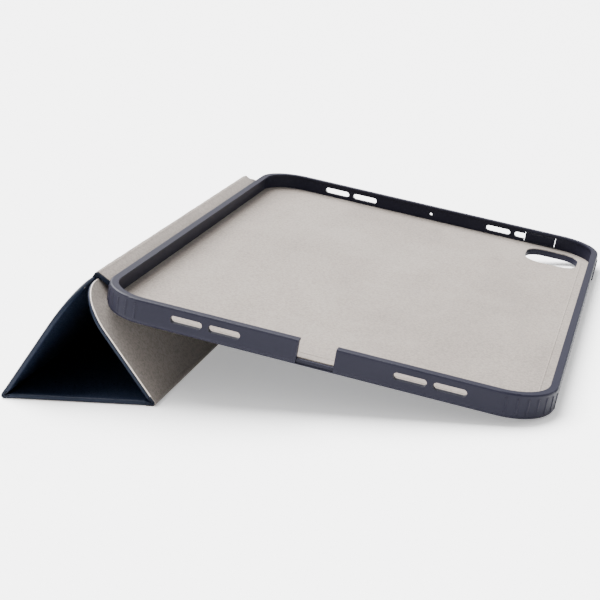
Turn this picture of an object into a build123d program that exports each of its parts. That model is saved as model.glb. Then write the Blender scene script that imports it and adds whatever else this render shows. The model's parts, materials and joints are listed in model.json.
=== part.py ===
from build123d import *
from math import atan2, cos, degrees, radians, sin, sqrt
import os

# Tri-fold folio case for an 11-inch tablet, standing in its low typing pose.
#
# Everything is drawn in the tray's own axes first: X across the tray, Y along its long side,
# Z out of the screen, with Z = 0 at the tablet's glass. The whole case is then tilted about Y
# and set down so that its lowest point is at Z = 0 and its box is centred on X = Y = 0.
# A direction in the XZ plane is an angle in degrees, counted from +X towards +Z.

# --- tablet that the case is made for -------------------------------------------------------
tablet_width = 178.5
tablet_length = 247.6
tablet_thickness = 6.1
tablet_corner = 18.0

# --- tray -----------------------------------------------------------------------------------
wall = 2.3
fit_gap = 0.2
lining_thickness = 0.45
seat_gap = 0.35
tray_back_z = -9.5
tray_floor_z = -(tablet_thickness + lining_thickness + seat_gap)
lip_bottom_z = 0.15
lip_top_z = 1.0
lip_reach = 1.15
back_edge_radius = 2.2
lip_edge_radius = 0.8
cut_overrun = 1.0
slot_cut_depth = 3 * wall
window_cut_depth = 1.5 * wall

cavity_width = tablet_width + 2 * fit_gap
cavity_length = tablet_length + 2 * fit_gap
cavity_corner = tablet_corner + fit_gap
tray_width = cavity_width + 2 * wall
tray_length = cavity_length + 2 * wall
tray_corner = cavity_corner + wall
half_width = tray_width / 2
half_length = tray_length / 2

frame_border = 12.0
plate_z = (-8.7, tray_floor_z)
back_skin_z = (-9.3, -8.7)
plate_corner = 10.0

camera_centre = (69.0, 104.0)
camera_opening = 27.0
camera_corner = 9.0
camera_island = 35.0
camera_rim_width = 2.0
camera_rim_height = 0.5
camera_island_corner = camera_corner + (camera_island - camera_opening) / 2

slot_length = 13.2
slot_height = 3.0
slot_z = -3.5
slot_centres_x = (-52.8, -37.2, 37.2, 52.8)
port_width = 15.0
port_sill_recess = 1.0
port_sill_z = -8.6
microphone_radius = 0.8

rib_count = 7
rib_pitch = 4.4
rib_width = 1.1
rib_proud = 0.3
rib_z = (-7.2, -0.8)

pad_height = 4.6
pad_proud = 0.6
pad_gap = 0.3
pad_z = -3.6
pad_inner_gap = 0.2
pad_edge_radius = 0.48
volume_pad_length = 12.4
volume_pad_centres_y = (83.6, 96.8)
power_pad_length = 16.0
power_pad_centre_x = 60.0

# --- cover ----------------------------------------------------------------------------------
cover_thickness = 2.4
cover_half_length = 124.5
cover_corner = 19.0
spine_half_length = 103.5
spine_thickness = 1.9
spine_width = 7.3
spine_lining_inset = 0.3
spine_lining_end_inset = 1.0
strip_thickness = 0.6
strip_inset = 0.8
strip_end_inset = 2.0
anchor_thickness = 0.6
anchor_z = (-8.4, -4.4)
spine_hinge = (-93.3, -4.6)

panel_1_length = 59.4
panel_2_length = 65.2
panel_3_length = 52.2
stiff_length_3 = 42.8
margin_thickness = 2.0
margin_gap = 0.1

fold_gap = 2.8
ridge_gap = 1.6
bead_radius = cover_thickness / 2
tongue_thickness = 0.9
tongue_gap = 0.3
skin_thickness = 0.5
start_tongue = (bead_radius + tongue_gap, fold_gap)
board_inset = 1.6
lining_inset = 1.0

magnet_size = (20.0, 5.0, 0.9)
magnet_count = 6
magnet_pitch = 36.0

# --- stand pose -----------------------------------------------------------------------------
tilt = 12.24
spine_direction = 154.0
panel_3_direction_on_floor = 123.0


def direction(angle):
    return Vector(cos(radians(angle)), 0, sin(radians(angle)))


def to_floor(x, z):
    """Tray axes to floor axes, before the case is lifted onto the floor."""
    turned = Vector(x, 0, z).rotate(Axis.Y, tilt)
    return turned.X, turned.Z


def from_floor(x, z):
    turned = Vector(x, 0, z).rotate(Axis.Y, -tilt)
    return turned.X, turned.Z


def slab(width, length, corner, z_low, z_high, centre=(0, 0)):
    """A flat plate with round corners between two heights."""
    outline = RectangleRounded(width, length, corner)
    return Pos(centre[0], centre[1], z_low) * extrude(outline, z_high - z_low)


def block(x, y, z):
    """A plain block given by its lowest and highest X, Y and Z."""
    size = (x[1] - x[0], y[1] - y[0], z[1] - z[0])
    middle = ((x[0] + x[1]) / 2, (y[0] + y[1]) / 2, (z[0] + z[1]) / 2)
    return Pos(*middle) * Box(*size)


# --- tray parts -----------------------------------------------------------------------------
def floor_outline():
    """The plate's outline inside the frame, with its corner cut away round the camera."""
    width = tray_width - 2 * frame_border
    length = tray_length - 2 * frame_border
    island = RectangleRounded(camera_island, camera_island, camera_island_corner)
    return RectangleRounded(width, length, plate_corner) - Pos(*camera_centre) * island


def wall_slot(x, y):
    """A speaker slot's cutter, a rounded bar through a short wall."""
    profile = SlotOverall(slot_length, slot_height)
    place = Pos(x, y + slot_cut_depth / 2, slot_z) * Rot(90, 0, 0)
    return place * extrude(profile, slot_cut_depth)


def corner_ribs():
    """Upright grip ribs along each rounded corner of the wall."""
    ribs = []
    for side_x in (-1, 1):
        for side_y in (-1, 1):
            centre_x = side_x * (half_width - tray_corner)
            centre_y = side_y * (half_length - tray_corner)
            for index in range(rib_count):
                offset = (index - (rib_count - 1) / 2) * rib_pitch
                turn = 45 + degrees(offset / tray_corner)
                reach = tray_corner - rib_width / 2 + rib_proud
                x = centre_x + side_x * reach * cos(radians(turn))
                y = centre_y + side_y * reach * sin(radians(turn))
                rib = Cylinder(rib_width / 2, rib_z[1] - rib_z[0])
                ribs.append(Pos(x, y, (rib_z[0] + rib_z[1]) / 2) * rib)
    return ribs


def span(centre, half):
    return centre - half, centre + half


def volume_window(centre_y):
    """The cutter that frees a volume pad from the long wall, with a gap all round it."""
    reach = (half_width - window_cut_depth, half_width + wall)
    along = span(centre_y, volume_pad_length / 2 + pad_gap)
    return block(reach, along, span(pad_z, pad_height / 2 + pad_gap))


def power_window():
    """The same for the power pad in the far short wall."""
    reach = (half_length - window_cut_depth, half_length + wall)
    along = span(power_pad_centre_x, power_pad_length / 2 + pad_gap)
    return block(along, reach, span(pad_z, pad_height / 2 + pad_gap))


def camera_cutter(z_low, z_high):
    return slab(camera_opening, camera_opening, camera_corner, z_low, z_high, camera_centre)


def make_tray_shell():
    shell = slab(tray_width, tray_length, tray_corner, tray_back_z, lip_top_z)
    shell = fillet(shell.faces().sort_by(Axis.Z)[0].edges(), back_edge_radius)
    shell = fillet(shell.faces().sort_by(Axis.Z)[-1].edges(), lip_edge_radius)
    shell += corner_ribs()
    rim_low = tray_back_z - camera_rim_height
    rim_size = camera_opening + 2 * camera_rim_width
    rim_corner = camera_corner + camera_rim_width
    shell += slab(rim_size, rim_size, rim_corner, rim_low, tray_back_z, camera_centre)
    shell -= slab(cavity_width, cavity_length, cavity_corner, tray_floor_z, lip_bottom_z)
    lip_width = cavity_width - 2 * lip_reach
    lip_length = cavity_length - 2 * lip_reach
    lip_corner = cavity_corner - lip_reach
    lip_cut_z = (lip_bottom_z, lip_top_z + cut_overrun)
    shell -= slab(lip_width, lip_length, lip_corner, *lip_cut_z)
    shell -= Pos(0, 0, tray_back_z) * extrude(floor_outline(), tray_floor_z - tray_back_z)
    shell -= camera_cutter(rim_low, tray_floor_z)
    for x in slot_centres_x:
        shell -= wall_slot(x, half_length)
        shell -= wall_slot(x, -half_length)
    port_x = span(0, port_width / 2)
    port_reach = (-half_length - cut_overrun, -half_length + window_cut_depth)
    shell -= block(port_x, port_reach, (tray_floor_z, lip_top_z + cut_overrun))
    sill_reach = (-half_length - cut_overrun, -half_length + port_sill_recess)
    shell -= block(port_x, sill_reach, (port_sill_z, tray_floor_z))
    microphone = Rot(90, 0, 0) * Cylinder(microphone_radius, slot_cut_depth)
    shell -= Pos(0, half_length, slot_z) * microphone
    for centre_y in volume_pad_centres_y:
        shell -= volume_window(centre_y)
    shell -= power_window()
    return shell


def make_floor_sheet(heights):
    """The back plate and its skin share one outline, each between its own two heights."""
    return Pos(0, 0, heights[0]) * extrude(floor_outline(), heights[1] - heights[0])


def make_tray_lining():
    top = tray_floor_z + lining_thickness
    sheet = slab(tablet_width, tablet_length, tablet_corner, tray_floor_z, top)
    return sheet - camera_cutter(tray_floor_z, top)


def make_volume_pad(centre_y):
    reach = (cavity_width / 2 + pad_inner_gap, half_width + pad_proud)
    pad = block(reach, span(centre_y, volume_pad_length / 2), span(pad_z, pad_height / 2))
    return fillet(pad.faces().sort_by(Axis.X)[-1].edges(), pad_edge_radius)


def make_power_pad():
    reach = (cavity_length / 2 + pad_inner_gap, half_length + pad_proud)
    along = span(power_pad_centre_x, power_pad_length / 2)
    pad = block(along, reach, span(pad_z, pad_height / 2))
    return fillet(pad.faces().sort_by(Axis.Y)[-1].edges(), pad_edge_radius)


def make_spine_anchor():
    reach = (-half_width - anchor_thickness, -half_width)
    return block(reach, span(0, spine_half_length), anchor_z)


# --- cover parts, drawn flat: X away from the panel's hinge, Z on the PU skin's side ---------
def panel_outline(start, end, inset=0.0, round_start=False, round_end=False):
    """A panel's outline; the case's own rounded corners are at its start or at its end."""
    half = cover_half_length - inset
    corner = cover_corner - inset
    outline = Pos((start + end) / 2, 0) * Rectangle(end - start, 2 * half)
    if round_start:
        whole = Pos(corner + inset, 0) * Rectangle(2 * corner, 2 * half)
        outline -= whole - Pos(2 * corner + inset, 0) * RectangleRounded(4 * corner, 2 * half, corner)
    if round_end:
        whole = Pos(end - corner, 0) * Rectangle(2 * corner, 2 * half)
        outline -= whole - Pos(end - 2 * corner, 0) * RectangleRounded(4 * corner, 2 * half, corner)
    return outline


def plate_between(outline, z_low, z_high):
    return Pos(0, 0, z_low) * extrude(outline, z_high - z_low)


def shrunk_outline(start, end, inset, round_start, round_end):
    return panel_outline(start + inset, end - inset, inset, round_start, round_end)


def make_panel(start, end, round_start=False, round_end=False, tongues=()):
    """The PU skin, stiffener board and lining of one panel."""
    half = cover_thickness / 2
    board_half = half - skin_thickness
    outer = panel_outline(start, end, 0, round_start, round_end)
    board_shape = shrunk_outline(start, end, board_inset, round_start, round_end)
    lining_shape = shrunk_outline(start, end, lining_inset, round_start, round_end)
    board = plate_between(board_shape, -board_half, board_half)
    lining = plate_between(lining_shape, -half, -board_half)
    skin = plate_between(outer, -half, half) - board - lining
    for reach in tongues:
        skin += block(reach, span(0, cover_half_length), span(0, tongue_thickness / 2))
    return skin, board, lining


def bead(half_span, radius):
    """The round flexible fold, centred on its hinge line."""
    return Rot(90, 0, 0) * Cylinder(radius, 2 * half_span)


def magnet_row(distance):
    """Flat bar magnets in a row along Y, at a distance from the panel's hinge."""
    size_y, size_x, size_z = magnet_size
    first = -(magnet_count - 1) / 2 * magnet_pitch
    places = [Pos(distance, first + index * magnet_pitch, 0) for index in range(magnet_count)]
    return [place * Box(size_x, size_y, size_z) for place in places]


def make_spine():
    """The narrow strip between the tray and the first panel, with the bead of the ridge fold."""
    half = spine_thickness / 2
    strip_half = strip_thickness / 2
    start = half + tongue_gap
    end = spine_width - start
    across = span(0, spine_half_length)
    plate = block((start, end), across, span(0, half))
    web = block((end, spine_width), across, span(0, strip_half))
    ridge = Pos(spine_width, 0, 0) * bead(spine_half_length, half)
    strip_across = span(0, spine_half_length - strip_end_inset)
    strip = block((start + strip_inset, end - strip_inset), strip_across, span(0, strip_half))
    lining_across = span(0, spine_half_length - spine_lining_end_inset)
    lining_reach = (start + spine_lining_inset, end - spine_lining_inset)
    lining = block(lining_reach, lining_across, (-half, -strip_half))
    return {
        "spine_skin": [plate + (web - ridge) - strip - lining],
        "spine_strip": [strip],
        "spine_lining": [lining],
        "ridge_fold": [ridge],
    }


def make_first_panel():
    """From the ridge down to the floor, with the magnets that hold the cover's free edge."""
    end = panel_1_length - fold_gap
    tongue = (end, panel_1_length)
    skin, board, lining = make_panel(ridge_gap, end, round_start=True, tongues=[tongue])
    magnets = magnet_row(ridge_gap + board_inset + magnet_size[1])
    fold = Pos(panel_1_length, 0, 0) * bead(cover_half_length, bead_radius)
    return {
        "panel_1_skin": [skin - fold],
        "panel_1_board": [board - magnets],
        "panel_1_lining": [lining],
        "stand_magnets": magnets,
        "panel_1_2_fold": [fold],
    }


def make_second_panel():
    """The panel that lies flat on the floor."""
    end = panel_2_length - fold_gap
    tongues = [start_tongue, (end, panel_2_length)]
    skin, board, lining = make_panel(fold_gap, end, tongues=tongues)
    fold = Pos(panel_2_length, 0, 0) * bead(cover_half_length, bead_radius)
    return {
        "panel_2_skin": [skin - fold],
        "panel_2_board": [board],
        "panel_2_lining": [lining],
        "panel_2_3_fold": [fold],
    }


def make_third_panel():
    """Back up to the ridge, ending in the soft closing margin at the cover's free edge."""
    skin, board, lining = make_panel(fold_gap, stiff_length_3, tongues=[start_tongue])
    margin_start = stiff_length_3 + margin_gap
    margin_shape = panel_outline(margin_start, panel_3_length, 0, round_end=True)
    margin = plate_between(margin_shape, -margin_thickness / 2, margin_thickness / 2)
    magnets = magnet_row((stiff_length_3 + panel_3_length) / 2)
    return {
        "panel_3_skin": [skin],
        "panel_3_board": [board],
        "panel_3_lining": [lining],
        "closing_margin": [margin - magnets],
        "closing_magnets": magnets,
    }


def lay(parts, hinge, angle):
    """Turns flat parts to their direction and sets them on their hinge line."""
    place = Pos(hinge.X, hinge.Y, hinge.Z) * Rot(0, -angle, 0)
    return {name: [place * piece for piece in pieces] for name, pieces in parts.items()}


def main():
    """Draws every sub-part, places it in the stand pose and writes one STEP file each."""
    parts = {
        "tray_shell": [make_tray_shell()],
        "back_plate": [make_floor_sheet(plate_z)],
        "back_skin": [make_floor_sheet(back_skin_z)],
        "tray_lining": [make_tray_lining()],
        "volume_down_pad": [make_volume_pad(volume_pad_centres_y[0])],
        "volume_up_pad": [make_volume_pad(volume_pad_centres_y[1])],
        "power_pad": [make_power_pad()],
        "spine_anchor": [make_spine_anchor()],
    }

    # How far the tray's own axes stand above the floor: its back right edge touches down.
    edge_z = to_floor(half_width - back_edge_radius, tray_back_z + back_edge_radius)[1]
    lift = back_edge_radius - edge_z

    # The hinge lines, from the tray round the folded cover to its free edge.
    hinge_1 = Vector(spine_hinge[0], 0, spine_hinge[1])
    hinge_2 = hinge_1 + direction(spine_direction) * spine_width
    ridge_x, ridge_z = to_floor(hinge_2.X, hinge_2.Z)
    drop = ridge_z + lift - bead_radius
    foot_x, foot_z = from_floor(ridge_x - sqrt(panel_1_length**2 - drop**2), bead_radius - lift)
    hinge_3 = Vector(foot_x, 0, foot_z)
    hinge_4 = hinge_3 + direction(tilt) * panel_2_length
    panel_1_direction = degrees(atan2(hinge_3.Z - hinge_2.Z, hinge_3.X - hinge_2.X))
    panel_3_direction = panel_3_direction_on_floor + tilt

    parts |= lay({"tray_fold": [bead(spine_half_length, spine_thickness / 2)]}, hinge_1, 0)
    parts |= lay(make_spine(), hinge_1, spine_direction)
    parts |= lay(make_first_panel(), hinge_2, panel_1_direction)
    parts |= lay(make_second_panel(), hinge_3, tilt)
    parts |= lay(make_third_panel(), hinge_4, panel_3_direction)

    # Tilt onto the floor, then centre the case's box on the origin.
    standing = lay(parts, Vector(0, 0, 0), -tilt)
    copies = [piece.moved(Location()) for pieces in standing.values() for piece in pieces]
    box = Compound(children=copies).bounding_box()
    shift = Vector(-(box.min.X + box.max.X) / 2, -(box.min.Y + box.max.Y) / 2, -box.min.Z)

    os.makedirs("parts", exist_ok=True)
    for name, placed in lay(standing, shift, 0).items():
        whole = placed[0] if len(placed) == 1 else Compound(children=placed)
        export_step(whole, f"parts/{name}.step")

    print("box", box.size, "lift", round(lift, 4), "shift", shift)
    hinges = {"spine": hinge_1, "ridge": hinge_2, "fold_1_2": hinge_3, "fold_2_3": hinge_4}
    for name, hinge in hinges.items():
        x, z = to_floor(hinge.X, hinge.Z)
        print(name, "hinge at", round(x + shift.X, 4), round(z + shift.Z, 4))
    print("panel 1 direction", panel_1_direction, "panel 3 direction", panel_3_direction)


main()
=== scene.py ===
import json
import math

import bmesh
import bpy
from mathutils import Matrix, Vector


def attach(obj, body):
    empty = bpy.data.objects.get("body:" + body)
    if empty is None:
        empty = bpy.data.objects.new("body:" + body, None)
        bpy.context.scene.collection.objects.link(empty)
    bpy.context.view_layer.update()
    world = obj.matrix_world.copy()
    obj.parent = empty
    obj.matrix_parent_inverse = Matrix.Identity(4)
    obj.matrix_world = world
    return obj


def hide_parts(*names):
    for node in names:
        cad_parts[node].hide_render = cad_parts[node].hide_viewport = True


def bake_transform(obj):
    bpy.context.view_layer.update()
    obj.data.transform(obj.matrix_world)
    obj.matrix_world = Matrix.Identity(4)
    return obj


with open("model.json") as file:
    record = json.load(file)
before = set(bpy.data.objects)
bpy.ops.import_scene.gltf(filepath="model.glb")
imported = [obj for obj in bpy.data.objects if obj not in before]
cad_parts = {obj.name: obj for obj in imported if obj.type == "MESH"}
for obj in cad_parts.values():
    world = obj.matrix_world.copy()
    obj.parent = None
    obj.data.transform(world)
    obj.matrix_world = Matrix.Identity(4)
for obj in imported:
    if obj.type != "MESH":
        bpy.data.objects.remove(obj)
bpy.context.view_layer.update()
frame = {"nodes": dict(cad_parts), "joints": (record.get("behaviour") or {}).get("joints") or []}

print("frame loaded:", len(frame["nodes"]), "nodes")

nodes = frame["nodes"]
hinges = {joint["name"]: Vector(joint["pos_m"]) for joint in frame["joints"] if joint["type"] == "hinge"}
millimetre = 0.001  # sizes are in millimetres, and the scene is in metres

# how the tray stands on the floor: its slope, and where its own axes are
stand = {"slope": math.radians(12.24), "across": 22.8134, "along": -0.2512, "lift": 28.3193}

# each leaf of the cover: its hinge line and the way it runs from there, in degrees from +X to +Z
leaves = {
    "spine": {"hinge": hinges["spine_swing"], "angle": 141.76},
    "panel_1": {"hinge": hinges["cover_swing"], "angle": 232.18},
    "panel_2": {"hinge": hinges["stand_fold"], "angle": 360.0},
    "panel_3": {"hinge": hinges["third_fold"], "angle": 483.0},
}


def fromTray(x, y, z):
    # from the tray's own axes to the scene's
    c, s = math.cos(stand["slope"]), math.sin(stand["slope"])
    place = (x * c + z * s + stand["across"], y + stand["along"], z * c - x * s + stand["lift"])
    return Vector(place) * millimetre


def aim(degrees):
    return Vector((math.cos(math.radians(degrees)), 0, math.sin(math.radians(degrees))))


def onLeaf(leaf, u, y, h):
    # u runs away from the hinge and h towards the leather side
    place = leaves[leaf]
    along, out = aim(place["angle"]), aim(place["angle"] + 90)
    return place["hinge"] + (along * u + out * h + Vector((0, y + stand["along"], 0))) * millimetre


# node helpers: a value is a plain number or another node's socket
socketKinds = {"value": "NodeSocketFloat", "colour": "NodeSocketColor"}


def addNode(tree, kind, sockets=None, **settings):
    node = tree.nodes.new(kind)
    for key, value in settings.items():
        setattr(node, key, value)
    for key, value in (sockets or {}).items():
        if isinstance(value, bpy.types.NodeSocket):
            tree.links.new(value, node.inputs[key])
        else:
            node.inputs[key].default_value = value
    return node


def calculate(tree, operation, *values, clamp=False):
    sockets = dict(enumerate(values))
    return addNode(tree, "ShaderNodeMath", sockets, operation=operation, use_clamp=clamp).outputs[0]


def remap(tree, value, low, high, toLow=0.0, toHigh=1.0):
    # low to high becomes toLow to toHigh, and the result stays between them
    sockets = {"Value": value, "From Min": low, "From Max": high, "To Min": toLow, "To Max": toHigh}
    return addNode(tree, "ShaderNodeMapRange", sockets).outputs[0]


def addNoise(tree, vector, scale, detail, **others):
    return addNode(tree, "ShaderNodeTexNoise", {"Vector": vector, "Scale": scale, "Detail": detail, **others})


def objectCoords(tree):
    return addNode(tree, "ShaderNodeTexCoord").outputs["Object"]


def mixColours(tree, share, first, second):
    node = addNode(tree, "ShaderNodeMix", data_type="RGBA")
    for socket in node.inputs:
        if socket.name == "Factor" and socket.type == "VALUE":
            tree.links.new(share, socket)
        if socket.type == "RGBA":
            value = first if socket.name == "A" else second
            if isinstance(value, bpy.types.NodeSocket):
                tree.links.new(value, socket)
            else:
                socket.default_value = value
    return node.outputs[2]


# shader groups that several finishes share
def startGroup(name, inputs, outputs):
    group = bpy.data.node_groups.new(name, "ShaderNodeTree")
    for label, kind, value in inputs:
        socket = group.interface.new_socket(label, in_out="INPUT", socket_type=socketKinds[kind])
        socket.default_value = value
    for label, kind in outputs:
        group.interface.new_socket(label, in_out="OUTPUT", socket_type=socketKinds[kind])
    return group, group.nodes.new("NodeGroupInput"), group.nodes.new("NodeGroupOutput")


def makePebbleGrain():
    # rounded pebbles with fine pores between them, as in pressed leather and moulded rubber
    group, given, out = startGroup(
        "pebbleGrain",
        [("Scale", "value", 900.0), ("Pebble", "value", 1.0), ("Pore", "value", 0.4)],
        [("Height", "value"), ("Hollow", "value")],
    )
    coords = objectCoords(group)
    warp = addNoise(group, coords, 140.0, 2.0).outputs["Color"]
    shift = addNode(group, "ShaderNodeVectorMath", {0: warp, "Scale": 0.0012}, operation="SCALE")
    bent = addNode(group, "ShaderNodeVectorMath", {0: coords, 1: shift.outputs[0]}, operation="ADD")
    sockets = {"Vector": bent.outputs[0], "Scale": given.outputs["Scale"]}
    cells = addNode(group, "ShaderNodeTexVoronoi", sockets, feature="SMOOTH_F1").outputs["Distance"]
    pores = addNoise(group, coords, 4200.0, 3.0, Roughness=0.6).outputs[0]
    dome = calculate(group, "MULTIPLY", calculate(group, "SUBTRACT", 1.0, cells), given.outputs["Pebble"])
    pore = calculate(group, "MULTIPLY", pores, given.outputs["Pore"])
    group.links.new(calculate(group, "ADD", dome, pore), out.inputs["Height"])
    group.links.new(remap(group, cells, 0.35, 0.85), out.inputs["Hollow"])
    return group


def makeNap():
    # short fibres, with broad patches where they have been brushed the other way
    group, given, out = startGroup(
        "brushedNap",
        [("Colour", "colour", (0.4, 0.36, 0.32, 1)), ("Shade", "colour", (0.2, 0.18, 0.16, 1)),
         ("Patch Size", "value", 26.0)],
        [("Colour", "colour"), ("Height", "value")],
    )
    coords = objectCoords(group)
    brushed = addNode(group, "ShaderNodeMapping", {"Vector": coords, "Scale": (1.0, 0.32, 1.0)}).outputs[0]
    fibre = addNoise(group, brushed, 2600.0, 4.0, Roughness=0.65).outputs[0]
    fleck = addNoise(group, coords, 900.0, 3.0, Roughness=0.6).outputs[0]
    patch = addNoise(group, brushed, given.outputs["Patch Size"], 2.0, Distortion=0.6).outputs[0]
    fine = remap(group, fibre, 0.35, 0.68)
    broad = remap(group, patch, 0.38, 0.62, toHigh=0.3)
    spots = remap(group, fleck, 0.44, 0.6, toHigh=0.5)
    share = calculate(group, "MULTIPLY_ADD", fine, 0.45, broad)
    share = calculate(group, "ADD", share, spots, clamp=True)
    tint = mixColours(group, share, given.outputs["Colour"], given.outputs["Shade"])
    group.links.new(tint, out.inputs["Colour"])
    group.links.new(fibre, out.inputs["Height"])
    return group


def makeEdgeWearAndHighlight():
    # a mask of the edges that hands and bags rub, broken up by noise; the colour put on it is partly wear and
    # partly a painted highlight along the edges
    group, given, out = startGroup(
        "edgeWearAndHighlight",
        [("Radius", "value", 0.0006), ("Strength", "value", 1.0)],
        [("Mask", "value")],
    )
    rounded = addNode(group, "ShaderNodeBevel", {"Radius": given.outputs["Radius"]}, samples=6).outputs[0]
    plain = addNode(group, "ShaderNodeNewGeometry").outputs["Normal"]
    turn = addNode(group, "ShaderNodeVectorMath", {0: rounded, 1: plain}, operation="DOT_PRODUCT")
    edge = remap(group, turn.outputs["Value"], 0.995, 0.86)
    noise = addNoise(group, objectCoords(group), 160.0, 4.0).outputs[0]
    mask = calculate(group, "MULTIPLY", edge, remap(group, noise, 0.3, 0.62))
    mask = calculate(group, "MULTIPLY", mask, given.outputs["Strength"], clamp=True)
    group.links.new(mask, out.inputs["Mask"])
    return group


def makeHandling():
    # faint smudges and dust, broad and very soft
    group, given, out = startGroup(
        "handling",
        [("Scale", "value", 22.0), ("Strength", "value", 0.3)],
        [("Mask", "value")],
    )
    smudge = addNoise(group, objectCoords(group), given.outputs["Scale"], 5.0, Distortion=0.8).outputs[0]
    soft = remap(group, smudge, 0.45, 0.75)
    mask = calculate(group, "MULTIPLY", soft, given.outputs["Strength"], clamp=True)
    group.links.new(mask, out.inputs["Mask"])
    return group


pebbleGrain, brushedNap, edgeWearAndHighlight, handling = makePebbleGrain(), makeNap(), makeEdgeWearAndHighlight(), makeHandling()
print("shader groups made")


# finishes
def useGroup(tree, group, sockets):
    return addNode(tree, "ShaderNodeGroup", sockets, node_tree=group)


def startFinish(name, sockets):
    material = bpy.data.materials.new(name)
    material.use_nodes = True
    shader = material.node_tree.nodes["Principled BSDF"]
    for key, value in sockets.items():
        shader.inputs[key].default_value = value
    return material, material.node_tree, shader


def addBump(tree, shader, height, strength, depth):
    bump = addNode(tree, "ShaderNodeBump", {"Height": height, "Strength": strength, "Distance": depth})
    tree.links.new(bump.outputs[0], shader.inputs["Normal"])


# how deep each kind of surface is in metres, how its smudges spread and how much rougher it gets in places
surfaces = {
    "moulded": {"pebble": 0.7, "pore": 0.7, "smudges": 24.0, "rougher": 0.35, "depth": 0.00003},
    "leather": {"pebble": 1.0, "pore": 0.25, "smudges": 18.0, "rougher": 0.25, "depth": 0.00006},
    "nap": {"smudges": 30.0, "depth": 0.00008},
    "board": {"flecks": 380.0, "bump": 0.4, "depth": 0.0001},
    "magnet": {"marks": 900.0, "smooth": 0.2, "rough": 0.42, "edge": 0.0002, "wearAndHighlight": 0.8},
}


def mouldedFinish(name, look):
    # rubber and hard plastic: fine pebble texture, rubbed edges that also carry a painted highlight, faint
    # smudges
    surface = surfaces["moulded"]
    material, tree, shader = startFinish(name, look["fixed"])
    grain = useGroup(tree, pebbleGrain, {
        "Scale": look["grain"], "Pebble": surface["pebble"], "Pore": surface["pore"]})
    wornAndHighlit = useGroup(tree, edgeWearAndHighlight, {"Radius": look["edge"], "Strength": look["wearAndHighlight"]})
    smudge = useGroup(tree, handling, {"Scale": surface["smudges"], "Strength": look["smudge"]})
    base = mixColours(tree, wornAndHighlit.outputs["Mask"], look["colour"], look["rubbedAndHighlight"])
    base = mixColours(tree, smudge.outputs["Mask"], base, look["dust"])
    tree.links.new(base, shader.inputs["Base Color"])
    rough = remap(tree, smudge.outputs["Mask"], 0.0, 1.0, look["rough"], look["rough"] + surface["rougher"])
    tree.links.new(rough, shader.inputs["Roughness"])
    addBump(tree, shader, grain.outputs["Height"], look["bump"], surface["depth"])
    return material


def leatherFinish(name, look):
    # coated leather: pebbles that are darker and rougher in their hollows, rubbed on the edges, with a
    # painted highlight along them
    surface = surfaces["leather"]
    material, tree, shader = startFinish(name, look["fixed"])
    grain = useGroup(tree, pebbleGrain, {
        "Scale": look["grain"], "Pebble": surface["pebble"], "Pore": surface["pore"]})
    wornAndHighlit = useGroup(tree, edgeWearAndHighlight, {"Radius": look["edge"], "Strength": look["wearAndHighlight"]})
    smudge = useGroup(tree, handling, {"Scale": surface["smudges"], "Strength": look["smudge"]})
    base = mixColours(tree, grain.outputs["Hollow"], look["colour"], look["hollow"])
    base = mixColours(tree, wornAndHighlit.outputs["Mask"], base, look["rubbedAndHighlight"])
    base = mixColours(tree, smudge.outputs["Mask"], base, look["dust"])
    tree.links.new(base, shader.inputs["Base Color"])
    rough = remap(tree, grain.outputs["Hollow"], 0.0, 1.0, look["rough"], look["rough"] + surface["rougher"])
    tree.links.new(rough, shader.inputs["Roughness"])
    addBump(tree, shader, grain.outputs["Height"], look["bump"], surface["depth"])
    return material


def napFinish(name, look):
    # microfibre: brushed nap, and a paler rim where the sheet is cut; the rim is partly the cut fabric's own
    # paler colour and partly a painted highlight
    surface = surfaces["nap"]
    material, tree, shader = startFinish(name, look["fixed"])
    nap = useGroup(tree, brushedNap, {
        "Colour": look["colour"], "Shade": look["shade"], "Patch Size": look["patch"]})
    smudge = useGroup(tree, handling, {"Scale": surface["smudges"], "Strength": look["smudge"]})
    paleAndLitRim = addNode(tree, "ShaderNodeAttribute", attribute_name="paleAndLitRim").outputs["Fac"]
    base = mixColours(tree, smudge.outputs["Mask"], nap.outputs["Colour"], look["dust"])
    # where the rim attribute is 1 the cut colour goes on: paler fabric with a painted highlight
    tree.links.new(mixColours(tree, paleAndLitRim, base, look["cut"]), shader.inputs["Base Color"])
    addBump(tree, shader, nap.outputs["Height"], look["bump"], surface["depth"])
    return material


def boardFinish(name, look):
    # pressed fibre board: flecks of pulp
    surface = surfaces["board"]
    material, tree, shader = startFinish(name, look["fixed"])
    pulp = addNoise(tree, objectCoords(tree), surface["flecks"], 6.0, Roughness=0.7).outputs[0]
    base = mixColours(tree, remap(tree, pulp, 0.35, 0.65), look["colour"], look["fleck"])
    tree.links.new(base, shader.inputs["Base Color"])
    addBump(tree, shader, pulp, surface["bump"], surface["depth"])
    return material


def magnetFinish(name, look):
    # nickel plate with fine tumbling marks
    surface = surfaces["magnet"]
    material, tree, shader = startFinish(name, look["fixed"])
    marks = addNoise(tree, objectCoords(tree), surface["marks"], 5.0, Distortion=1.5).outputs[0]
    rough = remap(tree, marks, 0.0, 1.0, surface["smooth"], surface["rough"])
    tree.links.new(rough, shader.inputs["Roughness"])
    wornAndHighlit = useGroup(tree, edgeWearAndHighlight, {"Radius": surface["edge"], "Strength": surface["wearAndHighlight"]})
    base = mixColours(tree, wornAndHighlit.outputs["Mask"], look["colour"], look["rubbedAndHighlight"])
    tree.links.new(base, shader.inputs["Base Color"])
    return material


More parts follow.
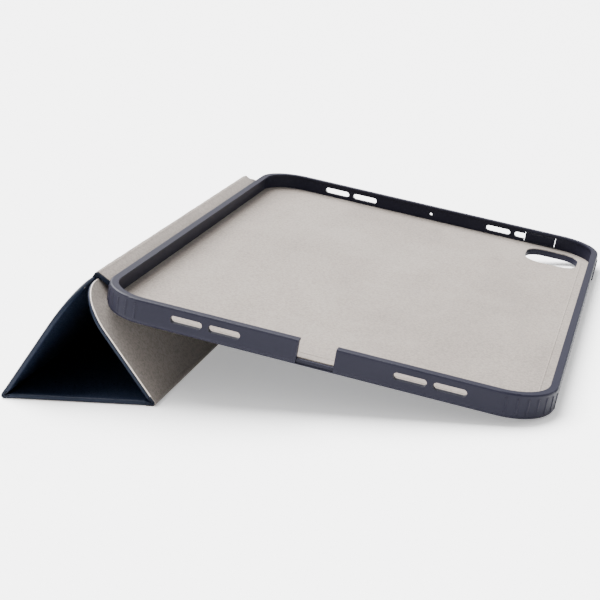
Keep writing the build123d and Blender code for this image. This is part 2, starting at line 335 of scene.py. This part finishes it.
finishes = {
    "tpu": mouldedFinish("tpu", {
        # the rubbed colour lightens the lip and rib edges: partly wear, partly a painted highlight
        "colour": (0.008, 0.0078, 0.0158, 1), "rubbedAndHighlight": (0.018, 0.0176, 0.029, 1),
        "dust": (0.03, 0.03, 0.04, 1),
        "grain": 2600.0, "edge": 0.0007, "wearAndHighlight": 0.55, "smudge": 0.12, "rough": 0.48, "bump": 0.35,
        "fixed": {"IOR": 1.48, "Specular IOR Level": 0.12},
    }),
    "back_plastic": mouldedFinish("back_plastic", {
        "colour": (0.012, 0.013, 0.022, 1), "rubbedAndHighlight": (0.03, 0.032, 0.046, 1),
        "dust": (0.03, 0.03, 0.036, 1),
        "grain": 3400.0, "edge": 0.0004, "wearAndHighlight": 0.3, "smudge": 0.1, "rough": 0.55, "bump": 0.3,
        "fixed": {"IOR": 1.5},
    }),
    "pu_leather": leatherFinish("pu_leather", {
        "colour": (0.0046, 0.008, 0.0182, 1), "hollow": (0.0034, 0.0062, 0.0146, 1),
        # the rubbed colour lightens the rolled edges: partly wear, partly a painted highlight
        "rubbedAndHighlight": (0.011, 0.016, 0.03, 1), "dust": (0.02, 0.023, 0.034, 1),
        "grain": 1800.0, "edge": 0.0005, "wearAndHighlight": 0.07, "smudge": 0.1, "rough": 0.46, "bump": 0.4,
        "fixed": {"IOR": 1.5, "Specular IOR Level": 0.13},
    }),
    "fold_leather": leatherFinish("fold_leather", {
        "colour": (0.0046, 0.0078, 0.0175, 1), "hollow": (0.0034, 0.0062, 0.0146, 1),
        "rubbedAndHighlight": (0.011, 0.016, 0.03, 1), "dust": (0.02, 0.023, 0.034, 1),
        "grain": 1900.0, "edge": 0.0005, "wearAndHighlight": 0.25, "smudge": 0.12, "rough": 0.5, "bump": 0.6,
        "fixed": {"IOR": 1.5, "Specular IOR Level": 0.13},
    }),
    "microfibre": napFinish("microfibre", {
        "colour": (0.23, 0.2, 0.176, 1), "shade": (0.14, 0.12, 0.105, 1),
        # the cut colour is the cut edge's own paler fabric, brightened further as a painted highlight
        "cut": (0.6, 0.535, 0.485, 1), "dust": (0.26, 0.235, 0.21, 1),
        "patch": 24.0, "smudge": 0.2, "bump": 0.6,
        "fixed": {
            "Roughness": 0.95, "Sheen Weight": 0.12, "Sheen Roughness": 0.45, "Specular IOR Level": 0.15,
        },
    }),
    "board": boardFinish("board", {
        "colour": (0.16, 0.145, 0.12, 1), "fleck": (0.26, 0.24, 0.2, 1), "fixed": {"Roughness": 0.9},
    }),
    "magnet": magnetFinish("magnet", {
        "colour": (0.62, 0.6, 0.56, 1), "rubbedAndHighlight": (0.75, 0.7, 0.6, 1), "fixed": {"Metallic": 1.0},
    }),
}
print("finishes made:", len(finishes))


# geometry node trees
def startTree(name, inputs):
    tree = bpy.data.node_groups.new(name, "GeometryNodeTree")
    tree.interface.new_socket("Geometry", in_out="INPUT", socket_type="NodeSocketGeometry")
    for label, kind, value in inputs:
        socket = tree.interface.new_socket(label, in_out="INPUT", socket_type=kind)
        if value is not None:
            socket.default_value = value
    tree.interface.new_socket("Geometry", in_out="OUTPUT", socket_type="NodeSocketGeometry")
    return tree, tree.nodes.new("NodeGroupInput"), tree.nodes.new("NodeGroupOutput")


def endTree(tree, given, out, geometry):
    whole = addNode(tree, "GeometryNodeRealizeInstances", {"Geometry": geometry}).outputs[0]
    sockets = {"Geometry": whole, "Material": given.outputs["Material"]}
    coated = addNode(tree, "GeometryNodeSetMaterial", sockets)
    tree.links.new(coated.outputs[0], out.inputs["Geometry"])
    return tree


def makeFoldTree():
    # a fold's section drawn out along the crease, wrinkled most over the crease itself
    tree, given, out = startTree("foldStrip", [
        ("Half Length", "NodeSocketFloat", 124.3),
        ("Rows", "NodeSocketInt", 160),
        ("Wrinkle Depth", "NodeSocketFloat", 0.06),
        ("Wrinkle Size", "NodeSocketFloat", 0.5),
        ("Wrinkle Reach", "NodeSocketFloat", 2.4),
        ("Seed", "NodeSocketFloat", 1.0),
        ("Material", "NodeSocketMaterial", None),
    ])
    half = given.outputs["Half Length"]
    start = addNode(tree, "ShaderNodeCombineXYZ", {"Z": calculate(tree, "MULTIPLY", half, -1.0)}).outputs[0]
    end = addNode(tree, "ShaderNodeCombineXYZ", {"Z": half}).outputs[0]
    path = addNode(tree, "GeometryNodeCurvePrimitiveLine", {"Start": start, "End": end}).outputs[0]
    rows = {"Curve": path, "Count": given.outputs["Rows"]}
    path = addNode(tree, "GeometryNodeResampleCurve", rows).outputs[0]
    sweep = {"Curve": path, "Profile Curve": given.outputs["Geometry"], "Fill Caps": True}
    swept = addNode(tree, "GeometryNodeCurveToMesh", sweep).outputs[0]
    closed = addNode(tree, "GeometryNodeMergeByDistance", {"Geometry": swept, "Distance": 0.0001})

    place = addNode(tree, "GeometryNodeInputPosition").outputs[0]
    parts = addNode(tree, "ShaderNodeSeparateXYZ", {"Vector": place})
    across = calculate(tree, "ABSOLUTE", parts.outputs["X"])
    along = calculate(tree, "ABSOLUTE", parts.outputs["Z"])
    reach = remap(tree, across, given.outputs["Wrinkle Reach"], 0.2)
    slack = remap(tree, along, half, 100.0)
    squeezed = addNode(tree, "ShaderNodeVectorMath", {0: place, 1: (0.5, 0.5, 0.55)}, operation="MULTIPLY")
    size, seed = given.outputs["Wrinkle Size"], given.outputs["Seed"]
    wrinkles = {"Vector": squeezed.outputs[0], "W": seed, "Scale": size, "Detail": 3.0}
    noise = addNode(tree, "ShaderNodeTexNoise", wrinkles, noise_dimensions="4D").outputs[0]
    depth = calculate(tree, "SUBTRACT", noise, 0.5)
    for share in (given.outputs["Wrinkle Depth"], reach, slack):
        depth = calculate(tree, "MULTIPLY", depth, share)
    normal = addNode(tree, "GeometryNodeInputNormal").outputs[0]
    push = addNode(tree, "ShaderNodeVectorMath", {0: normal, "Scale": depth}, operation="SCALE")
    offset = {"Geometry": closed.outputs[0], "Offset": push.outputs[0]}
    moved = addNode(tree, "GeometryNodeSetPosition", offset)
    return endTree(tree, given, out, moved.outputs[0])


def makePressedLineTree():
    # a low rounded line that follows an outline, as a heated die leaves it
    tree, given, out = startTree("pressedLine", [
        ("Width", "NodeSocketFloat", 0.5),
        ("Height", "NodeSocketFloat", 0.12),
        ("Spacing", "NodeSocketFloat", 1.2),
        ("Material", "NodeSocketMaterial", None),
    ])
    spaced = {"Curve": given.outputs["Geometry"], "Length": given.outputs["Spacing"]}
    path = addNode(tree, "GeometryNodeResampleCurve", spaced, mode="LENGTH").outputs[0]
    ring = addNode(tree, "GeometryNodeCurvePrimitiveCircle", {"Resolution": 8, "Radius": 1.0}).outputs[0]
    half = calculate(tree, "MULTIPLY", given.outputs["Width"], 0.5)
    size = addNode(tree, "ShaderNodeCombineXYZ", {"X": half, "Y": given.outputs["Height"], "Z": 1.0})
    ring = addNode(tree, "GeometryNodeTransform", {"Geometry": ring, "Scale": size.outputs[0]}).outputs[0]
    swept = addNode(tree, "GeometryNodeCurveToMesh", {"Curve": path, "Profile Curve": ring})
    return endTree(tree, given, out, swept.outputs[0])


def makeFibreTree():
    # short fibres that stand out from a cut edge
    tree, given, out = startTree("edgeFibres", [
        ("Spacing", "NodeSocketFloat", 0.35),
        ("Fibre Length", "NodeSocketFloat", 0.3),
        ("Fibre Radius", "NodeSocketFloat", 0.018),
        ("Spread", "NodeSocketFloat", 0.6),
        ("Seed", "NodeSocketInt", 3),
        ("Material", "NodeSocketMaterial", None),
    ])
    seed = given.outputs["Seed"]
    spaced = {"Curve": given.outputs["Geometry"], "Length": given.outputs["Spacing"]}
    path = addNode(tree, "GeometryNodeResampleCurve", spaced, mode="LENGTH").outputs[0]
    points = addNode(tree, "GeometryNodeCurveToPoints", {"Curve": path}, mode="EVALUATED")
    radius, length = given.outputs["Fibre Radius"], given.outputs["Fibre Length"]
    cone = {"Vertices": 3, "Radius Bottom": radius, "Depth": length}
    fibre = addNode(tree, "GeometryNodeMeshCone", cone).outputs["Mesh"]
    normal = points.outputs["Normal"]
    outward = addNode(tree, "FunctionNodeAlignRotationToVector", {"Vector": normal}, axis="Z").outputs[0]
    turns = {0: (-0.6, -0.6, 0.0), 1: (0.6, 0.6, 6.28), "Seed": seed}
    wild = addNode(tree, "FunctionNodeRandomValue", turns, data_type="FLOAT_VECTOR").outputs[0]
    spread = {0: wild, "Scale": given.outputs["Spread"]}
    tilt = addNode(tree, "ShaderNodeVectorMath", spread, operation="SCALE").outputs[0]
    tip = addNode(tree, "FunctionNodeEulerToRotation", {"Euler": tilt}).outputs[0]
    tipped = {"Rotation": outward, "Rotate By": tip}
    turned = addNode(tree, "FunctionNodeRotateRotation", tipped, rotation_space="LOCAL").outputs[0]
    sizes = addNode(tree, "FunctionNodeRandomValue", {2: 0.5, 3: 1.25, "Seed": seed}, data_type="FLOAT")
    placed = addNode(tree, "GeometryNodeInstanceOnPoints", {
        "Points": points.outputs["Points"], "Instance": fibre, "Rotation": turned, "Scale": sizes.outputs[1]})
    return endTree(tree, given, out, placed.outputs[0])


foldTree, pressedLineTree, fibreTree = makeFoldTree(), makePressedLineTree(), makeFibreTree()
print("geometry trees made")


def outlineCurve(lines, closed=True):
    curve = bpy.data.curves.new("outline", "CURVE")
    curve.dimensions = "3D"
    for line in lines:
        spline = curve.splines.new("POLY")
        spline.points.add(len(line) - 1)
        for slot, point in zip(spline.points, line):
            slot.co = (point[0], point[1], 0.0, 1.0)
        spline.use_cyclic_u = closed
    obj = bpy.data.objects.new("outline", curve)
    bpy.context.scene.collection.objects.link(obj)
    return obj


def grown(name, tree, source, values):
    # runs the tree on the source, keeps the result as a plain mesh and drops the source
    modifier = source.modifiers.new("grow", "NODES")
    modifier.node_group = tree
    sockets = {item.name: item.identifier for item in tree.interface.items_tree if item.in_out == "INPUT"}
    for label, value in values.items():
        modifier[sockets[label]] = value
    source.update_tag()
    bpy.context.view_layer.update()
    mesh = bpy.data.meshes.new_from_object(source.evaluated_get(bpy.context.evaluated_depsgraph_get()))
    mesh.name = name
    source.modifiers.remove(modifier)
    bpy.data.objects.remove(source)
    made = bpy.data.objects.new(name, mesh)
    bpy.context.scene.collection.objects.link(made)
    return made


smoothAngle = 40  # edges sharper than this, in degrees, stay sharp


def settle(obj, place):
    # moves every vertex from its flat place to its place on the object, and turns faces outwards
    mesh = obj.data
    for vertex in mesh.vertices:
        vertex.co = place(vertex.co)
    work = bmesh.new()
    work.from_mesh(mesh)
    bmesh.ops.recalc_face_normals(work, faces=work.faces)
    work.to_mesh(mesh)
    work.free()
    mesh.polygons.foreach_set("use_smooth", [True] * len(mesh.polygons))
    mesh.set_sharp_from_angle(angle=math.radians(smoothAngle))
    mesh.update()
    return obj


def smoothShare(value):
    value = min(max(value, 0), 1)
    return value * value * (3 - 2 * value)


# flat leaves: loops round an outline, from the lining side to the leather side
def roundedOutline(start, end, half, startRadius, endRadius, inset, steps=18):
    corners = [(end, 1, 1, endRadius), (start, -1, 1, startRadius),
               (start, -1, -1, startRadius), (end, 1, -1, endRadius)]
    leastRadius = 0.06
    points = []
    for turn, (u, sideU, sideY, radius) in enumerate(corners):
        kept = max(radius - inset, leastRadius)
        centreU = u - sideU * (inset + kept)
        centreY = sideY * (half - inset - kept)
        for step in range(steps + 1):
            angle = math.radians(90 * turn + 90 * step / steps)
            points.append((centreU + kept * math.cos(angle), centreY + kept * math.sin(angle)))
    return points


def loopSolid(name, loops, cuts=()):
    # loops of (u, y, h) with the same number of points, closed at both ends
    work = bmesh.new()
    rings = [[work.verts.new(point) for point in loop] for loop in loops]
    for lower, upper in zip(rings, rings[1:]):
        for index in range(len(lower)):
            after = (index + 1) % len(lower)
            work.faces.new((lower[index], lower[after], upper[after], upper[index]))
    caps = [work.faces.new(list(reversed(rings[0]))), work.faces.new(rings[-1])]
    for cap in caps:
        pieces = [cap]
        for u in cuts:
            pieces = [face for face in pieces if face.is_valid]
            edges = list({edge for face in pieces for edge in face.edges})
            corners = list({vert for face in pieces for vert in face.verts})
            near = pieces + edges + corners
            cut = bmesh.ops.bisect_plane(work, geom=near, plane_co=(u, 0, 0), plane_no=(1, 0, 0))
            pieces = [item for item in cut["geom"] if isinstance(item, bmesh.types.BMFace)]
    mesh = bpy.data.meshes.new(name)
    work.to_mesh(mesh)
    work.free()
    obj = bpy.data.objects.new(name, mesh)
    bpy.context.scene.collection.objects.link(obj)
    return obj


def coat(obj, finish):
    obj.data.materials.clear()
    obj.data.materials.append(finishes[finish])
    return obj


# a leaf's leather is rolled round both edges, and its lining lies in the lower face
leafLook = {
    "half": 124.5, "corner": 19.0, "square": 0.7,
    "roll": [(1.6, -1.03), (0.75, -1.0), (0.3, -0.86), (0.06, -0.5), (0.0, 0.0),
             (0.06, 0.5), (0.3, 0.88), (0.75, 1.1), (1.3, 1.17), (2.2, 1.2)],
    "lining": [(0.5, -0.68), (0.03, -0.72), (0.0, -0.95), (0.05, -1.16), (0.22, -1.21), (0.27, -1.21),
               (1.2, -1.2)],
    "cutLoops": 5, "liningCorner": 0.3,
}
panelLooks = {
    "panel_1": {"start": 1.6, "end": 56.6, "round": "start", "tongues": [(56.0, 59.1)],
                "inset": 0.95, "paleAndLitRimFrom": 104.0, "seed": 5},
    "panel_2": {"start": 2.8, "end": 62.4, "round": "none", "tongues": [(0.3, 3.4), (61.8, 64.9)],
                "inset": 0.6, "paleAndLitRimFrom": 0.0, "seed": 6},
    "panel_3": {"start": 2.8, "end": 53.5, "round": "end", "tongues": [(0.3, 3.4)],
                "thin": (42.8, 46.0, 0.83), "inset": 0.14, "paleAndLitRimFrom": 0.0, "seed": 7},
}
# a tongue runs from the leather into each fold, level with the fold's own line
tongueLook = {"halfThick": 0.34, "inset": 0.25, "corner": 0.1, "steps": 2}
# where a panel gets thinner its flat faces are cut across, so that they can bend
thinLook = {"cuts": 5, "gap": 0.8}
# "sunk" is how far the fibres start inside the cut edge
fibreLook = {"spacing": 0.3, "length": 0.3, "radius": 0.02, "spread": 1.0, "sunk": 0.02, "height": -1.05}
seamReach = 0.2  # how far a lining runs past its board at a fold, to meet the fold's own lining


def thinned(look, point):
    # the closing margin is thinner than the rest of its panel
    if "thin" not in look:
        return point
    begin, full, ratio = look["thin"]
    share = smoothShare((point[0] - begin) / (full - begin))
    return Vector((point[0], point[1], point[2] * (1 - share * (1 - ratio))))


def cutEdges(outline, look, start, end):
    # the parts of a lining's outline where it is cut, and not carried on over a fold
    quarter = len(outline) // 4
    corners = [outline[index * quarter:(index + 1) * quarter] for index in range(4)]
    edge = corners[0][-1][1]
    if look["round"] == "start":
        return [[(end, edge)] + corners[1], corners[2] + [(end, -edge)]]
    if look["round"] == "end":
        return [[(start, -edge)] + corners[3] + corners[0] + [(start, edge)]]
    return [[(end, edge), (start, edge)], [(start, -edge), (end, -edge)]]


def makeSkin(body, look, radii, cuts):
    # the leather body, with a tongue that runs into each fold
    loops = []
    for inset, h in leafLook["roll"]:
        outline = roundedOutline(look["start"], look["end"], leafLook["half"], *radii, inset)
        loops.append([(u, y, h) for u, y in outline])
    skin = loopSolid(body + "_leather", loops, cuts)
    half, corner = leafLook["half"] - tongueLook["inset"], tongueLook["corner"]
    halfThick = tongueLook["halfThick"]
    for low, high in look["tongues"]:
        outline = roundedOutline(low, high, half, corner, corner, 0, tongueLook["steps"])
        tongue = loopSolid("tongue", [[(u, y, h) for u, y in outline] for h in (-halfThick, halfThick)])
        joined = bmesh.new()
        joined.from_mesh(skin.data)
        joined.from_mesh(tongue.data)
        joined.to_mesh(skin.data)
        joined.free()
        bpy.data.objects.remove(tongue)
    settle(skin, lambda point: onLeaf(body, *thinned(look, point)))
    coat(skin, "pu_leather")
    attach(skin, body)
    return skin


def makeLining(body, look, start, end, edge, radii, cuts):
    # the lining sheet, with a rim attribute of 1 where its cut edge shows and the pale cut colour with its
    # painted highlight goes on
    loops = []
    for inset, h in leafLook["lining"]:
        atStart, atEnd = (inset if look["round"] == side else 0 for side in ("start", "end"))
        outline = roundedOutline(start - inset + atStart, end + inset - atEnd, edge, *radii, inset)
        loops.append([(u, y, h) for u, y in outline])
    lining = loopSolid(body + "_nap", loops, cuts)
    cutPoints = len(loops[0]) * leafLook["cutLoops"]
    paleAndLitRim = [float(vertex.index < cutPoints and abs(vertex.co.y) > look["paleAndLitRimFrom"])
           for vertex in lining.data.vertices]
    lining.data.attributes.new("paleAndLitRim", "FLOAT", "POINT").data.foreach_set("value", paleAndLitRim)
    settle(lining, lambda point: onLeaf(body, *thinned(look, point)))
    coat(lining, "microfibre")
    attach(lining, body)
    return lining


def makeFibres(body, look, start, end, edge, radii):
    # fibres along the lining's cut edges
    outline = roundedOutline(start, end, edge, *radii, fibreLook["sunk"])
    edges = cutEdges(outline, look, start, end)
    fibres = grown(body + "_fibres", fibreTree, outlineCurve(edges, False), {
        "Spacing": fibreLook["spacing"], "Fibre Length": fibreLook["length"],
        "Fibre Radius": fibreLook["radius"], "Spread": fibreLook["spread"],
        "Seed": look["seed"], "Material": finishes["microfibre"]})
    # the fibres take the cut colour too, with its painted highlight
    paleAndLitRim = [1.0] * len(fibres.data.vertices)
    fibres.data.attributes.new("paleAndLitRim", "FLOAT", "POINT").data.foreach_set("value", paleAndLitRim)

    def place(point):
        return onLeaf(body, *thinned(look, Vector((point.x, point.y, point.z + fibreLook["height"]))))

    settle(fibres, place)
    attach(fibres, body)


def makeLeaf(body, look):
    radii = [leafLook["corner"] if look["round"] == side else leafLook["square"] for side in ("start", "end")]
    cuts = []
    if "thin" in look:
        cuts = [look["thin"][0] + step * thinLook["gap"] for step in range(thinLook["cuts"])]
    skin = makeSkin(body, look, radii, cuts)
    start = look["start"] + (look["inset"] if look["round"] == "start" else -seamReach)
    end = look["end"] - (look["inset"] if look["round"] == "end" else -seamReach)
    edge = leafLook["half"] - look["inset"]
    radii = [max(radius - look["inset"], leafLook["liningCorner"]) for radius in radii]
    lining = makeLining(body, look, start, end, edge, radii, cuts)
    makeFibres(body, look, start, end, edge, radii)
    return skin, lining


leafPieces = {body: makeLeaf(body, look) for body, look in panelLooks.items()}
for body, (skin, lining) in leafPieces.items():
    margin = ["closing_margin"] if body == "panel_3" else []
    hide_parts(body + "_skin", *margin)
    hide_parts(body + "_lining")
print("leaves made")


# folds: each strip is drawn flat and then bent shut
def dense(points, gap=0.22):
    filled = []
    for (s0, h0), (s1, h1) in zip(points, points[1:]):
        count = max(1, math.ceil(math.hypot(s1 - s0, h1 - h0) / gap))
        filled += [(s0 + (s1 - s0) * k / count, h0 + (h1 - h0) * k / count) for k in range(count)]
    return filled + [points[-1]]


def mirrored(points):
    # a section that is the same on both sides of its first point
    return [(-s, h) for s, h in reversed(points[1:])] + points


halvings = 40  # steps of the search for a point's share of the bend


def shutPoint(fold, reach, s, y, h):
    # where a point of the flat strip is once the fold is at rest
    along, bend = fold["from"], fold["bend"]
    middle = aim(along + bend / 2)
    low, high = 0.0, 1.0
    for _ in range(halvings):
        share = (low + high) / 2
        point = aim(along + bend * share) * s + aim(along + bend * share + 90) * h
        if share < smoothShare((point.dot(middle) + reach) / (2 * reach)):
            low = share
        else:
            high = share
    return fold["hinge"] + (point + Vector((0, y + stand["along"], 0))) * millimetre


def makeStrip(name, fold, strip):
    section = outlineCurve([dense(strip["upper"]) + list(reversed(dense(strip["lower"])))])
    obj = grown(name, foldTree, section, {
        "Half Length": strip["half"], "Rows": strip.get("rows", 180),
        "Wrinkle Depth": strip["wrinkle"], "Wrinkle Size": strip["size"], "Wrinkle Reach": strip["flat"],
        "Seed": float(strip["seed"]), "Material": finishes[strip["finish"]]})
    if strip.get("reach"):
        settle(obj, lambda point: shutPoint(fold, strip["reach"], point.x, point.z, point.y))
        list(fold["bodies"])
        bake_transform(obj)
    else:
        settle(obj, lambda point: onLeaf(fold, point.x, point.z, point.y))
        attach(obj, fold)
    return obj


folds = {
    "tray_spine": {"bodies": ("tray", "spine"), "hinge": leaves["spine"]["hinge"],
                   "from": 77.76, "bend": 64.0},
    "ridge": {"bodies": ("spine", "panel_1"), "hinge": leaves["panel_1"]["hinge"],
              "from": 141.76, "bend": 90.42},
    "fold_1_2": {"bodies": ("panel_1", "panel_2"), "hinge": leaves["panel_2"]["hinge"],
                 "from": 232.18, "bend": 127.82, "node": "panel_1_2_fold", "liningHalf": 123.6},
    "fold_2_3": {"bodies": ("panel_2", "panel_3"), "hinge": leaves["panel_3"]["hinge"],
                 "from": 360.0, "bend": 123.0, "node": "panel_2_3_fold", "liningHalf": 124.3},
}

# sections run across the fold: how far from its line, and how high towards the leather inside it
panelStrips = {
    "inner": {"upper": mirrored([(0, 0.45), (1.2, 0.5), (2.3, 0.64), (3.2, 0.92)]),
              "lower": [(-3.2, 0.1), (3.2, 0.1)],
              "half": 124.25, "reach": 0.36, "wrinkle": 0.12, "size": 0.9, "flat": 2.0,
              "finish": "fold_leather"},
    "outer": {"upper": [(-3.2, -0.2), (3.2, -0.2)],
              "lower": mirrored([(0, -0.84), (1.2, -0.88), (2.2, -0.93), (3.2, -0.95)]),
              "half": 124.25, "reach": 1.9, "wrinkle": 0.04, "size": 0.5, "flat": 2.0,
              "finish": "fold_leather"},
    "lining": {"upper": mirrored([(0, -0.82), (1.0, -0.86), (1.8, -0.9), (3.1, -0.93)]),
               "lower": mirrored([(0, -1.1), (1.0, -1.13), (1.8, -1.17), (2.6, -1.2), (3.1, -1.1)]),
               "reach": 1.9, "wrinkle": 0.03, "size": 0.5, "flat": 2.0, "finish": "microfibre"},
}
for seed, key in enumerate(("fold_1_2", "fold_2_3")):
    for layer, strip in panelStrips.items():
        half = folds[key]["liningHalf"] if layer == "lining" else strip["half"]
        makeStrip(key + "_" + layer, folds[key], {
            **strip, "half": half, "seed": 3 * seed + len(layer)})
    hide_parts(folds[key]["node"])

spineHalves = {"fold_leather": 103.5, "pu_leather": 103.5, "microfibre": 102.7}
spineStrips = {
    "ridge_inner": {"upper": [(-1.3, 0.8), (-0.7, 0.6), (0, 0.5), (0.9, 0.66), (2.0, 0.95)],
                    "lower": [(-1.3, 0.1), (2.0, 0.1)],
                    "reach": 0.22, "wrinkle": 0.1, "size": 0.8, "flat": 1.2,
                    "finish": "fold_leather", "fold": "ridge"},
    "ridge_outer": {"upper": [(-1.3, -0.15), (2.0, -0.15)],
                    "lower": [(-1.3, -0.78), (-0.7, -0.84), (0, -0.88), (0.9, -0.92), (2.0, -0.95)],
                    "reach": 1.08, "wrinkle": 0.03, "size": 0.5, "flat": 1.4,
                    "finish": "fold_leather", "fold": "ridge"},
    "ridge_lining": {"upper": [(-1.9, -0.8), (-0.7, -0.93), (0, -0.95), (0.9, -0.97), (3.0, -0.98)],
                     "lower": [(-1.9, -1.0), (-1.3, -1.17), (-0.7, -1.185), (0, -1.195), (0.9, -1.2),
                               (1.8, -1.205), (2.6, -1.205), (3.0, -1.1)],
                     "reach": 1.08, "wrinkle": 0.05, "size": 0.5, "flat": 1.4,
                     "finish": "microfibre", "fold": "ridge"},
    "tray_fold_leather": {"upper": [(-3.9, -0.72), (-3.2, -0.5), (-2.2, 0.1), (-1.3, 0.66), (-0.5, 0.84),
                                    (0, 0.86), (1.3, 0.84)],
                          "lower": [(-3.9, -0.95), (-1.3, -0.8), (-0.6, -0.62), (0, -0.55), (0.6, -0.62),
                                    (1.3, -0.78)],
                          "reach": 0.6, "wrinkle": 0.06, "size": 0.6, "flat": 1.3,
                          "finish": "fold_leather", "fold": "tray_spine"},
    "tray_fold_lining": {"upper": [(-1.3, -0.82), (-0.6, -0.64), (0, -0.56), (0.6, -0.64), (1.6, -0.75)],
                         "lower": [(-1.3, -0.97), (-0.6, -0.84), (0, -0.78), (0.6, -0.86), (1.2, -1.02),
                                   (1.6, -0.95)],
                         "reach": 0.62, "wrinkle": 0.05, "size": 0.6, "flat": 1.3,
                         "finish": "microfibre", "fold": "tray_spine"},
    "spine_leather": {"upper": [(1.15, 0.8), (2.4, 0.66), (3.65, 0.6), (4.9, 0.66), (6.2, 0.8)],
                      "lower": [(1.15, -0.8), (2.4, -0.98), (3.65, -1.03), (4.9, -0.98), (6.2, -0.8)],
                      "wrinkle": 0.0, "size": 0.2, "flat": 9.0,
                      "finish": "pu_leather", "fold": "spine", "rows": 60},
    "spine_nap": {"upper": [(1.12, -0.78), (3.65, -1.0), (6.2, -0.9)],
                  "lower": [(1.12, -1.02), (2.4, -1.19), (3.65, -1.24), (4.9, -1.22), (6.2, -1.175)],
                  "wrinkle": 0.1, "size": 0.05, "flat": 9.0,
                  "finish": "microfibre", "fold": "spine", "rows": 60},
}
for seed, (name, strip) in enumerate(spineStrips.items()):
    makeStrip(name, folds.get(strip["fold"], strip["fold"]), {
        **strip, "half": spineHalves[strip["finish"]], "seed": seed + 11})
spineNodes = {
    "ridge_inner": "ridge_fold", "tray_fold_leather": "tray_fold",
    "spine_leather": "spine_skin", "spine_nap": "spine_lining",
}
for name, node in spineNodes.items():
    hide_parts(node)
print("folds and spine made")

# parts that keep their shape and get their finish
keptParts = {
    "tpu": ["tray_shell", "volume_up_pad", "volume_down_pad", "power_pad"],
    "back_plastic": ["back_plate"],
    "pu_leather": ["back_skin", "spine_anchor"],
    "microfibre": ["tray_lining"],
    "board": ["spine_strip", "panel_1_board", "panel_2_board", "panel_3_board"],
    "magnet": ["stand_magnets", "closing_magnets"],
}
for finish, names in keptParts.items():
    for name in names:
        coat(nodes[name], finish)

# the line pressed into the tray's lining, inside the tray's own outline
lineLook = {
    "halfWidth": 89.25, "halfLength": 123.8, "corner": 13.0, "steps": 12, "inset": 5.0,
    "width": 0.7, "height": 0.14, "spacing": 1.5, "floor": -6.45,
}
lineSide, lineEnd = lineLook["halfWidth"] - lineLook["inset"], lineLook["halfLength"] - lineLook["inset"]
corner, steps = lineLook["corner"], lineLook["steps"]
outline = roundedOutline(-lineSide, lineSide, lineEnd, corner, corner, 0, steps)
trayLine = grown("tray_lining_line", pressedLineTree, outlineCurve([outline]), {
    "Width": lineLook["width"], "Height": lineLook["height"], "Spacing": lineLook["spacing"],
    "Material": finishes["microfibre"]})
settle(trayLine, lambda point: fromTray(point.x, point.y, point.z + lineLook["floor"]))
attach(trayLine, "tray")
print("tray finished")

# the floor gives a little light of its own, as a lit sweep does
floorLook = {"half": 20, "colour": (0.92, 0.92, 0.92, 1), "glow": 0.4}
half = floorLook["half"]
floorMesh = bpy.data.meshes.new("floor")
corners = [(-half, -half, 0), (half, -half, 0), (half, half, 0), (-half, half, 0)]
floorMesh.from_pydata(corners, [], [(0, 1, 2, 3)])
floor = bpy.data.objects.new("floor", floorMesh)
bpy.context.scene.collection.objects.link(floor)
floorFinish = startFinish("floor", {
    "Base Color": floorLook["colour"], "Roughness": 0.8, "Specular IOR Level": 0.2,
    "Emission Color": (1, 1, 1, 1), "Emission Strength": floorLook["glow"]})[0]
floorMesh.materials.append(floorFinish)

# past the floor, the world looks as bright as the floor does
worldLook = {"light": 0.8, "backdrop": 5.6}
world = bpy.data.worlds.new("studio")
world.use_nodes = True
studioLight = world.node_tree.nodes["Background"]
studioLight.inputs["Color"].default_value = (1, 1, 1, 1)
seen = addNode(world.node_tree, "ShaderNodeLightPath").outputs["Is Camera Ray"]
strength = remap(world.node_tree, seen, 0.0, 1.0, worldLook["light"], worldLook["backdrop"])
world.node_tree.links.new(strength, studioLight.inputs["Strength"])
bpy.context.scene.world = world

# a wide soft key from above, behind and to the left, and a faint fill from the front left
lightLooks = {
    "key": {"from": (-0.5, 0.34, 1.0), "spread": 60.0, "power": 18.0},
    "fill": {"from": (-0.75, -1.0, 0.75), "spread": 80.0, "power": 1.2},
}
for name, look in lightLooks.items():
    lamp = bpy.data.lights.new(name, "SUN")
    lamp.energy, lamp.angle = look["power"], math.radians(look["spread"])
    light = bpy.data.objects.new(name, lamp)
    light.rotation_euler = Vector(look["from"]).to_track_quat("Z", "Y").to_euler()
    bpy.context.scene.collection.objects.link(light)

view = {
    "place": (0.16082, -0.64114, 0.1961), "right": (0.970275, 0.239569, -0.034254),
    "up": (-0.032677, 0.26994, 0.962322), "ahead": (-0.239789, 0.932598, -0.269744),
    "lens": 88.0, "sensor": 36.0, "shift": -0.05, "near": 0.02, "far": 40.0,
}
lens = bpy.data.cameras.new("camera")
lens.lens, lens.sensor_width, lens.shift_x = view["lens"], view["sensor"], view["shift"]
lens.clip_start, lens.clip_end = view["near"], view["far"]
camera = bpy.data.objects.new("camera", lens)
turn = Matrix((view["right"], view["up"], [-value for value in view["ahead"]])).transposed()
camera.matrix_world = Matrix.Translation(view["place"]) @ turn.to_4x4()
bpy.context.scene.collection.objects.link(camera)
bpy.context.scene.camera = camera
print("stage set")
